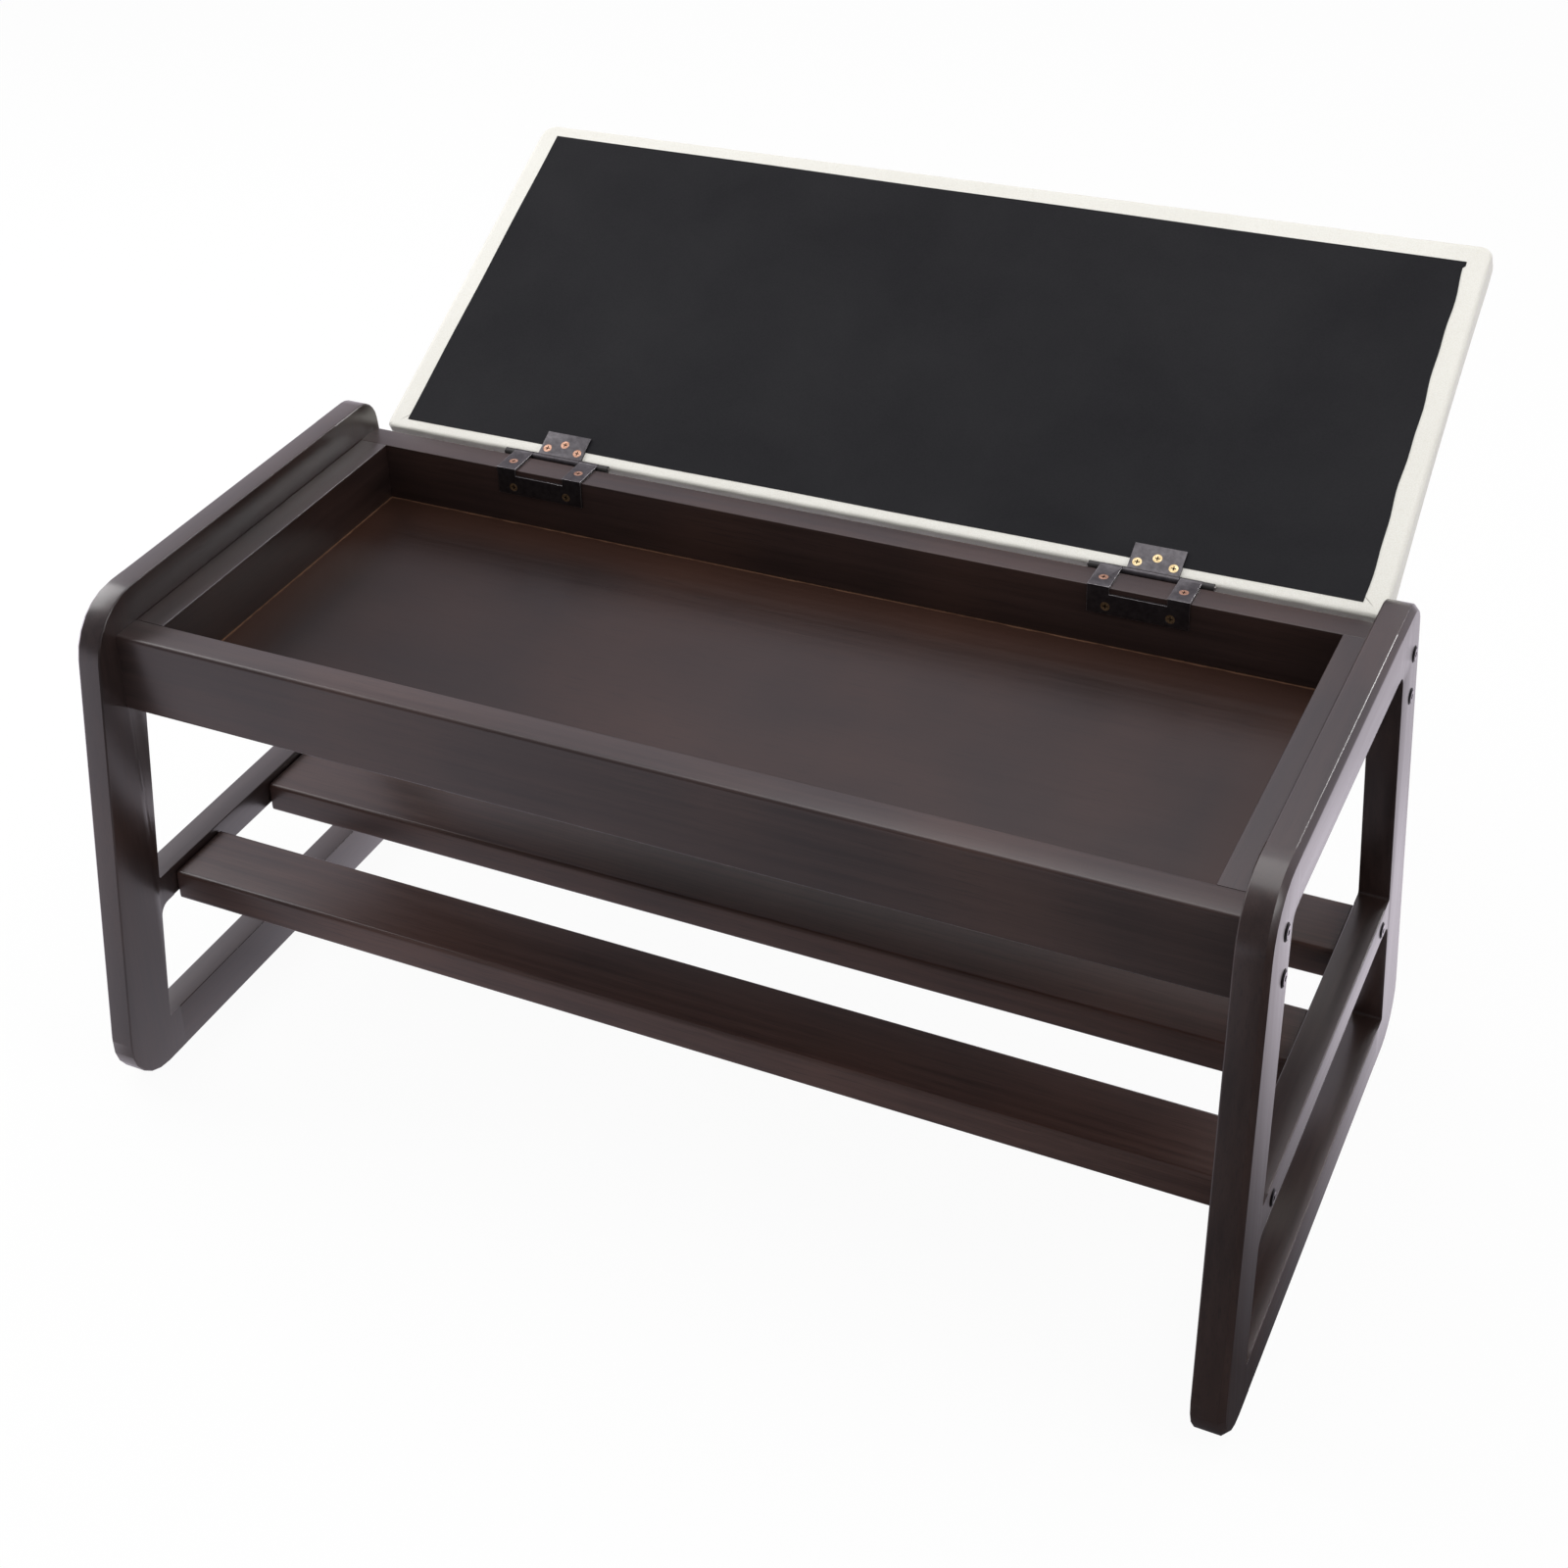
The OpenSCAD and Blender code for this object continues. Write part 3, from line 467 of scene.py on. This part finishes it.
def cushion_mesh():
    """Closed skin of the cushion: grid on top, rings down its sides, folds and a hidden cap."""
    xs, ys = grid_lines(-half_length, half_length), grid_lines(front_y, rear_y)
    nx, ny = len(xs), len(ys)
    border = (
        [(i, 0) for i in range(nx - 1)] + [(nx - 1, j) for j in range(ny - 1)]
        + [(i, ny - 1) for i in range(nx - 1, 0, -1)] + [(0, j) for j in range(ny - 1, 0, -1)]
    )
    gx, gy = np.meshgrid(xs, ys, indexing="ij")
    tx, ty = in_outline(gx.ravel(), gy.ravel(), shoulder, top_softness)
    ax = np.abs(tx) / (half_length - shoulder)
    ay = np.abs(ty - middle_y) / (half_depth - shoulder)
    tz = foam_top + crown * (1 - ax ** 5) * (1 - ay ** 2.6)
    points = [np.column_stack([tx, ty, tz])]
    bx = np.array([xs[i] for i, j in border])
    by = np.array([ys[j] for i, j in border])
    rings = []
    low_side = foam_top - shoulder * shoulder_drop
    for k in range(1, 7):
        a = math.pi / 2 * k / 6
        inset = shoulder * (1 - math.sin(a))
        z = foam_top - shoulder * shoulder_drop * (1 - math.cos(a))
        rings.append((z, inset, side_softness + inset))
    for k in range(1, 6):
        z = low_side + (board_top - low_side) * k / 5
        bulge = side_bulge * math.sin(math.pi * (low_side - z) / (low_side - board_top))
        rings.append((z, -bulge, side_softness * (1 - k / 5)))
    rings += [(z, 0.0, 0.0) for z in hem_heights + (edge_radius,)]
    for k in range(1, 5):
        a = math.pi / 2 * k / 4
        inset = edge_radius * (1 - math.cos(a))
        rings.append((edge_radius * (1 - math.sin(a)), inset, edge_radius * 0.4))
    rings += [(0.0, inset, 0.0) for inset in fold_insets + (fold_width,)]
    rings.append((0.0010, fold_width + 0.0004, 0.0))
    for z, inset, soften in rings:
        rx, ry = in_outline(bx, by, inset, soften)
        points.append(np.column_stack([rx, ry, np.full(len(rx), z)]))
    faces = []
    for i in range(nx - 1):
        for j in range(ny - 1):
            a = i * ny + j
            faces.append((a, a + ny, a + ny + 1, a + 1))
    count, first = len(border), nx * ny
    upper = [i * ny + j for i, j in border]
    for r in range(len(rings)):
        lower = [first + r * count + k for k in range(count)]
        for k in range(count):
            n = (k + 1) % count
            faces.append((upper[k], lower[k], lower[n], upper[n]))
        upper = lower
    faces.append(tuple(reversed(upper)))
    mesh = bpy.data.meshes.new("seat_cushion")
    mesh.from_pydata(np.concatenate(points).tolist(), [], faces)
    bm = bmesh.new()
    bm.from_mesh(mesh)
    bmesh.ops.triangulate(bm, faces=[f for f in bm.faces if len(f.verts) > 4], ngon_method="BEAUTY")
    bm.to_mesh(mesh)
    bm.free()
    return mesh


def leatherette(name):
    """Cream coated cloth with a fine pebble grain, faint creases, and a dark line in its mitres."""
    material, tree, shader = material_of(name)
    mitre = add(tree, "Attribute", attribute_name="mitre").outputs["Fac"]
    slit = ranged(tree, mitre, 0.00025, 0.00075, 1.0, 0.0)
    place = add(tree, "TexCoord").outputs["Object"]
    bent = place_noise(tree, (260.0, 260.0, 260.0), 2, 0.5)
    shifted = add(
        tree, "MixRGB", {"Fac": 0.0025, "Color1": place, "Color2": bent}, blend_type="ADD").outputs[0]
    pebble = add(
        tree, "TexVoronoi", {"Vector": shifted, "Scale": 620.0}, feature="DISTANCE_TO_EDGE")
    cells = ranged(tree, pebble.outputs["Distance"], 0.0, 0.28)
    cloud = place_noise(tree, (7.0, 7.0, 7.0), 2, 0.5, 0.3)
    crease = ranged(tree, place_noise(tree, (22.0, 22.0, 22.0), 2, 0.55, 0.8), 0.35, 0.65)
    tone = mixed(
        tree, ranged(tree, cloud, 0.3, 0.7), (0.735, 0.722, 0.672, 1), (0.775, 0.765, 0.718, 1))
    grained = mixed(tree, ranged(tree, cells, 0.0, 0.6, 0.22, 0.0), tone, (0.52, 0.48, 0.39, 1))
    lined = combined(tree, "MULTIPLY", slit, 0.75)
    tree.links.new(mixed(tree, lined, grained, (0.20, 0.18, 0.15, 1)), shader.inputs["Base Color"])
    tree.links.new(ranged(tree, crease, 0, 1, 0.46, 0.56), shader.inputs["Roughness"])
    shader.inputs["Specular IOR Level"].default_value = 0.4
    shader.inputs["Sheen Weight"].default_value = 0.08
    creased = combined(tree, "ADD", cells, ranged(tree, crease, 0, 1, 0, 2.0))
    cut_in = combined(tree, "SUBTRACT", creased, ranged(tree, slit, 0, 1, 0, 3.0))
    bumped(tree, shader, cut_in, 0.35, 0.00012)
    return material


def points_of(mesh):
    """The places of a mesh's points, as an array."""
    return np.array([v.co for v in mesh.vertices])


def put_points(mesh, points):
    """Moves a mesh's points to the places in the array."""
    mesh.vertices.foreach_set("co", points.astype(np.float32).ravel())
    mesh.update()


def drawn_in(points):
    """The points with the sides drawn in between the corners, pleats where the cover is gathered
    round a corner, and slight tugs along its long sides."""
    end_draw, side_draw = 0.0022, 0.0024
    pleat_depth, pleat_reach, pleat_height, pleat_band = 0.0007, 0.035, 0.012, 0.020
    tug_depth = 0.00025
    x, y, z = points.T.copy()
    along_x, along_y = x / half_length, (y - middle_y) / half_depth
    height = np.clip((z - 0.004) / (foam_top - 0.004), 0, 1)
    waist = np.sin(math.pi * height)
    at_side = np.clip((np.abs(along_x) - 0.93) / 0.07, 0, 1)
    at_end = np.clip((np.abs(along_y) - 0.85) / 0.15, 0, 1)
    x -= np.sign(x) * end_draw * waist * at_side * (1 - along_y ** 2)
    y -= np.sign(along_y) * side_draw * waist * at_end * (1 - along_x ** 2)
    from_end, from_side = half_length - np.abs(x), half_depth - np.abs(y - middle_y)
    x_sign, y_sign = np.sign(x), np.sign(y - middle_y)
    near = np.exp(-((np.hypot(from_end, from_side) / pleat_reach) ** 2))
    low_down = np.clip(1 - np.abs(z - pleat_height) / pleat_band, 0, 1)
    wave = np.sin(np.arctan2(from_side, from_end) * 22 + x_sign * 1.3 + y_sign * 0.7)
    pleat = pleat_depth * near * low_down * wave
    x += x_sign * pleat
    y += y_sign * pleat
    tugs = np.sin(x * 150 + 0.8) + np.sin(x * 233 + 2.1)
    y += y_sign * tug_depth * low_down * tugs * (1 - at_side)
    return np.column_stack([x, y, z])


def puffed(piece, cap):
    """Blows the foam up under its cover with Cloth, with the folds and the board's edge held.
    No point moves farther than cap."""
    held_band, steps = 0.012, 20
    keep = points_of(piece.data)
    held = piece.vertex_groups.new(name="held")
    for v, p in zip(piece.data.vertices, keep):
        share = 1 - min(max((p[2] - board_top) / held_band, 0), 1)
        held.add([v.index], share, "REPLACE")
    cloth = piece.modifiers.new("cloth", "CLOTH")
    cloth.settings.quality = 6
    cloth.settings.mass = 0.3
    cloth.settings.tension_stiffness = 12
    cloth.settings.compression_stiffness = 8
    cloth.settings.bending_stiffness = 0.6
    cloth.settings.use_pressure = True
    cloth.settings.uniform_pressure_force = 4
    cloth.settings.vertex_group_mass = "held"
    cloth.settings.pin_stiffness = 1
    cloth.settings.effector_weights.gravity = 0
    scene = bpy.context.scene
    for number in range(1, steps + 1):
        scene.frame_set(number)
    blown = points_of(piece.evaluated_get(bpy.context.evaluated_depsgraph_get()).data)
    scene.frame_set(1)
    piece.modifiers.remove(cloth)
    piece.vertex_groups.remove(held)
    moved = blown - keep
    length = np.linalg.norm(moved, axis=1, keepdims=True)
    moved *= np.minimum(1, cap / np.maximum(length, 1e-9))
    put_points(piece.data, keep + moved)


def marked_mitres(mesh):
    """Notes on each point of the folds its distance from the nearer rear mitre, a line that runs
    in from the corner. All other points are noted as far from it."""
    slant, fold_top, far = 1.25, 0.0021, 0.05
    x, y, z = points_of(mesh).T
    gap = np.abs(half_length - np.abs(x) - (rear_y - y) * slant) / math.hypot(1, slant)
    gap[(z > fold_top) | (y < middle_y)] = far
    mesh.attributes.new("mitre", "FLOAT", "POINT").data.foreach_set("value", gap.astype(np.float32))


cushion = bpy.data.objects.new("seat_cushion", cushion_mesh())
bpy.context.scene.collection.objects.link(cushion)
puffed(cushion, 0.005)
marked_mitres(cushion.data)
put_points(cushion.data, drawn_in(points_of(cushion.data)))
cushion.data.transform(Matrix.Translation((0, 0, cover_low[2])))
cushion.data.transform(open_turn)
cushion.data.materials.append(leatherette("cream_leatherette"))
for face in cushion.data.polygons:
    face.use_smooth = True
smoother = cushion.modifiers.new("smoother", "SUBSURF")
smoother.levels = smoother.render_levels = 1
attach(cushion, "lid")
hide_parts("seat_foam", "seat_cover")


# Underside lining: a black sheet stapled under the board, over the cover's folds. It was cut by
# hand, so its end by the right corner wanders and is nicked, and its front edge runs off there.
lining_ends, lining_rear = 0.0175, 0.0100
lining_front_left, lining_front_right = 0.0125, 0.0185
lining_low, lining_high = -0.0004, 0.0006
nick_depths, nick_end, nick_out = (0, 0.0022, 0.0036, 0.0046, 0.0070, 0.0120), 3, 0.0004


def lining_mesh():
    """The sheet's two faces and its edge, with the lid closed."""
    across = np.linspace(0, 1, 61)
    nick = np.array(nick_depths) / (rear_y - front_y)
    down = np.concatenate([nick, np.linspace(0.05, 1, 41)])
    points = []
    for z in (lining_low, lining_high):
        for u in across:
            inset = lining_front_left + (lining_front_right - lining_front_left) * u
            low = front_y + inset + 0.00025 * math.sin(17 * u + 0.5)
            high = rear_y - lining_rear + 0.0002 * math.sin(23 * u + 1.1)
            for v in down:
                left = -half_length + lining_ends + 0.0002 * math.sin(15 * v)
                wander = 0.0006 * math.sin(17 * v + 2.6) + 0.0004 * math.sin(39 * v)
                wander += 0.0012 * math.exp(-v / 0.15)
                right = half_length - lining_ends - (wander if v > nick[nick_end] else -nick_out)
                points.append((left + (right - left) * u, low + (high - low) * v, z))
    nx, ny = len(across), len(down)
    sheet = nx * ny
    faces = []
    for i in range(nx - 1):
        for j in range(ny - 1):
            a = i * ny + j
            faces.append((a, a + 1, a + ny + 1, a + ny))
            faces.append((sheet + a, sheet + a + ny, sheet + a + ny + 1, sheet + a + 1))
    rim = (
        [i * ny for i in range(nx - 1)] + [(nx - 1) * ny + j for j in range(ny - 1)]
        + [i * ny + ny - 1 for i in range(nx - 1, 0, -1)] + [j for j in range(ny - 1, 0, -1)]
    )
    for a, b in zip(rim, rim[1:] + rim[:1]):
        faces.append((a, b, sheet + b, sheet + a))
    mesh = bpy.data.meshes.new("underside_lining_sheet")
    mesh.from_pydata(points, [], faces)
    return mesh


def black_lining(name):
    """Black sheet, slightly clouded and flecked."""
    material, tree, shader = material_of(name)
    cloud = place_noise(tree, (9.0, 9.0, 9.0), 3, 0.55, 0.3)
    fleck = place_noise(tree, (700.0, 700.0, 700.0), 2, 0.6)
    clouded = mixed(
        tree, ranged(tree, cloud, 0.3, 0.7), (0.0105, 0.0105, 0.0125, 1), (0.0150, 0.0150, 0.0170, 1))
    tree.links.new(clouded, shader.inputs["Base Color"])
    tree.links.new(ranged(tree, fleck, 0.3, 0.7, 0.62, 0.78), shader.inputs["Roughness"])
    shader.inputs["Specular IOR Level"].default_value = 0.12
    bumped(tree, shader, fleck, 0.2, 0.0001)
    return material


lining = bpy.data.objects.new("underside_lining_sheet", lining_mesh())
bpy.context.scene.collection.objects.link(lining)
lining.data.transform(Matrix.Translation((0, 0, cover_low[2])))
lining.data.transform(open_turn)
lining.data.materials.append(black_lining("black_lining"))
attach(lining, "lid")
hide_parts("underside_lining")


# Studio: a pale floor that runs on as a white background, soft light from all round, three large
# soft lamps, and a small rim light that shows only in reflections. The floor and the background
# are seen white, and are reflected in lilac grey, in places darker, as a real studio's walls are.
lilac_tint, white = (0.97, 0.90, 1, 1), (1, 1, 1, 1)


def pale_floor():
    """The floor's material: lit and shadowed, but reflected as a glow that changes with place."""
    material, tree, shader = material_of("pale_floor")
    shader.inputs["Base Color"].default_value = (0.88, 0.88, 0.88, 1)
    shader.inputs["Roughness"].default_value = 0.9
    shader.inputs["Specular IOR Level"].default_value = 0.1
    path = add(tree, "LightPath")
    place = add(tree, "SeparateXYZ", {0: add(tree, "TexCoord").outputs["Object"]})
    nearer = ranged(tree, place.outputs["Y"], -0.2, 0.1, 0.5, 1.35)
    farther = ranged(tree, place.outputs["Y"], 0.12, 0.45, 1.0, 0.65)
    behind = mixed(tree, 1.0, nearer, farther, "MULTIPLY")
    before = ranged(tree, place.outputs["Y"], -0.3, 0.3, 1.0, 0.0)
    from_left = ranged(tree, place.outputs["X"], -0.7, 0.45, 1.6, 0.10)
    leftward = mixed(tree, before, white, from_left)
    glow = mixed(tree, 1.0, mixed(tree, 1.0, behind, leftward, "MULTIPLY"), lilac_tint, "MULTIPLY")
    colour = mixed(tree, path.outputs["Is Camera Ray"], glow, white)
    shining = add(tree, "Emission", {"Color": colour, "Strength": 1.0})
    seen = combined(tree, "MULTIPLY", path.outputs["Is Camera Ray"], 0.95)
    share = combined(tree, "MAXIMUM", seen, path.outputs["Is Glossy Ray"])
    blend = add(tree, "MixShader", {0: share, 1: shader.outputs[0], 2: shining.outputs[0]})
    tree.links.new(blend.outputs[0], tree.nodes["Material Output"].inputs["Surface"])
    return material


def studio():
    """The floor, the background and the lamps."""
    reach = 12
    corners = [(-reach, -reach, 0), (reach, -reach, 0), (reach, reach, 0), (-reach, reach, 0)]
    floor_mesh = bpy.data.meshes.new("floor")
    floor_mesh.from_pydata(corners, [], [(0, 1, 2, 3)])
    floor_mesh.materials.append(pale_floor())
    floor = bpy.data.objects.new("floor", floor_mesh)
    bpy.context.scene.collection.objects.link(floor)

    world = bpy.data.worlds.new("studio")
    world.use_nodes = True
    bpy.context.scene.world = world
    tree = world.node_tree
    toward = add(tree, "SeparateXYZ", {0: add(tree, "TexCoord").outputs["Generated"]})
    path = add(tree, "LightPath")
    behind = ranged(tree, toward.outputs["Y"], -0.8, 0.7, 0.18, 0.75)
    leftward = ranged(tree, toward.outputs["X"], -0.52, -0.15, 1.05, 0.78)
    glow = mixed(tree, 1.0, mixed(tree, 1.0, behind, leftward, "MULTIPLY"), lilac_tint, "MULTIPLY")
    soft = mixed(tree, path.outputs["Is Glossy Ray"], (0.53, 0.53, 0.53, 1), glow)
    seen = mixed(tree, path.outputs["Is Camera Ray"], soft, white)
    tree.links.new(seen, tree.nodes["Background"].inputs["Color"])
    tree.nodes["Background"].inputs["Strength"].default_value = 1.0

    for name, place, aim, size, power in (
        ("left_softbox", (-2.1, 0.1, 1.7), (0, -0.1, 0.3), 1.6, 30),
        ("right_softbox", (2.1, -0.5, 1.5), (0, -0.1, 0.3), 1.2, 12),
        ("overhead_softbox", (0.1, 0.5, 2.6), (0, 0, 0.3), 2.2, 26),
        ("rim_light", (1.09, 2.1, 1.58), (0.4, 0, 0.4), 0.5, 11),
    ):
        lamp_data = bpy.data.lights.new(name, "AREA")
        lamp_data.size = size
        lamp_data.energy = power
        lamp = bpy.data.objects.new(name, lamp_data)
        lamp.location = place
        lamp.rotation_euler = (Vector(aim) - Vector(place)).to_track_quat("-Z", "Y").to_euler()
        bpy.context.scene.collection.objects.link(lamp)
        lamp.visible_diffuse = name != "rim_light"


studio()
bpy.context.scene.view_settings.view_transform = "Standard"
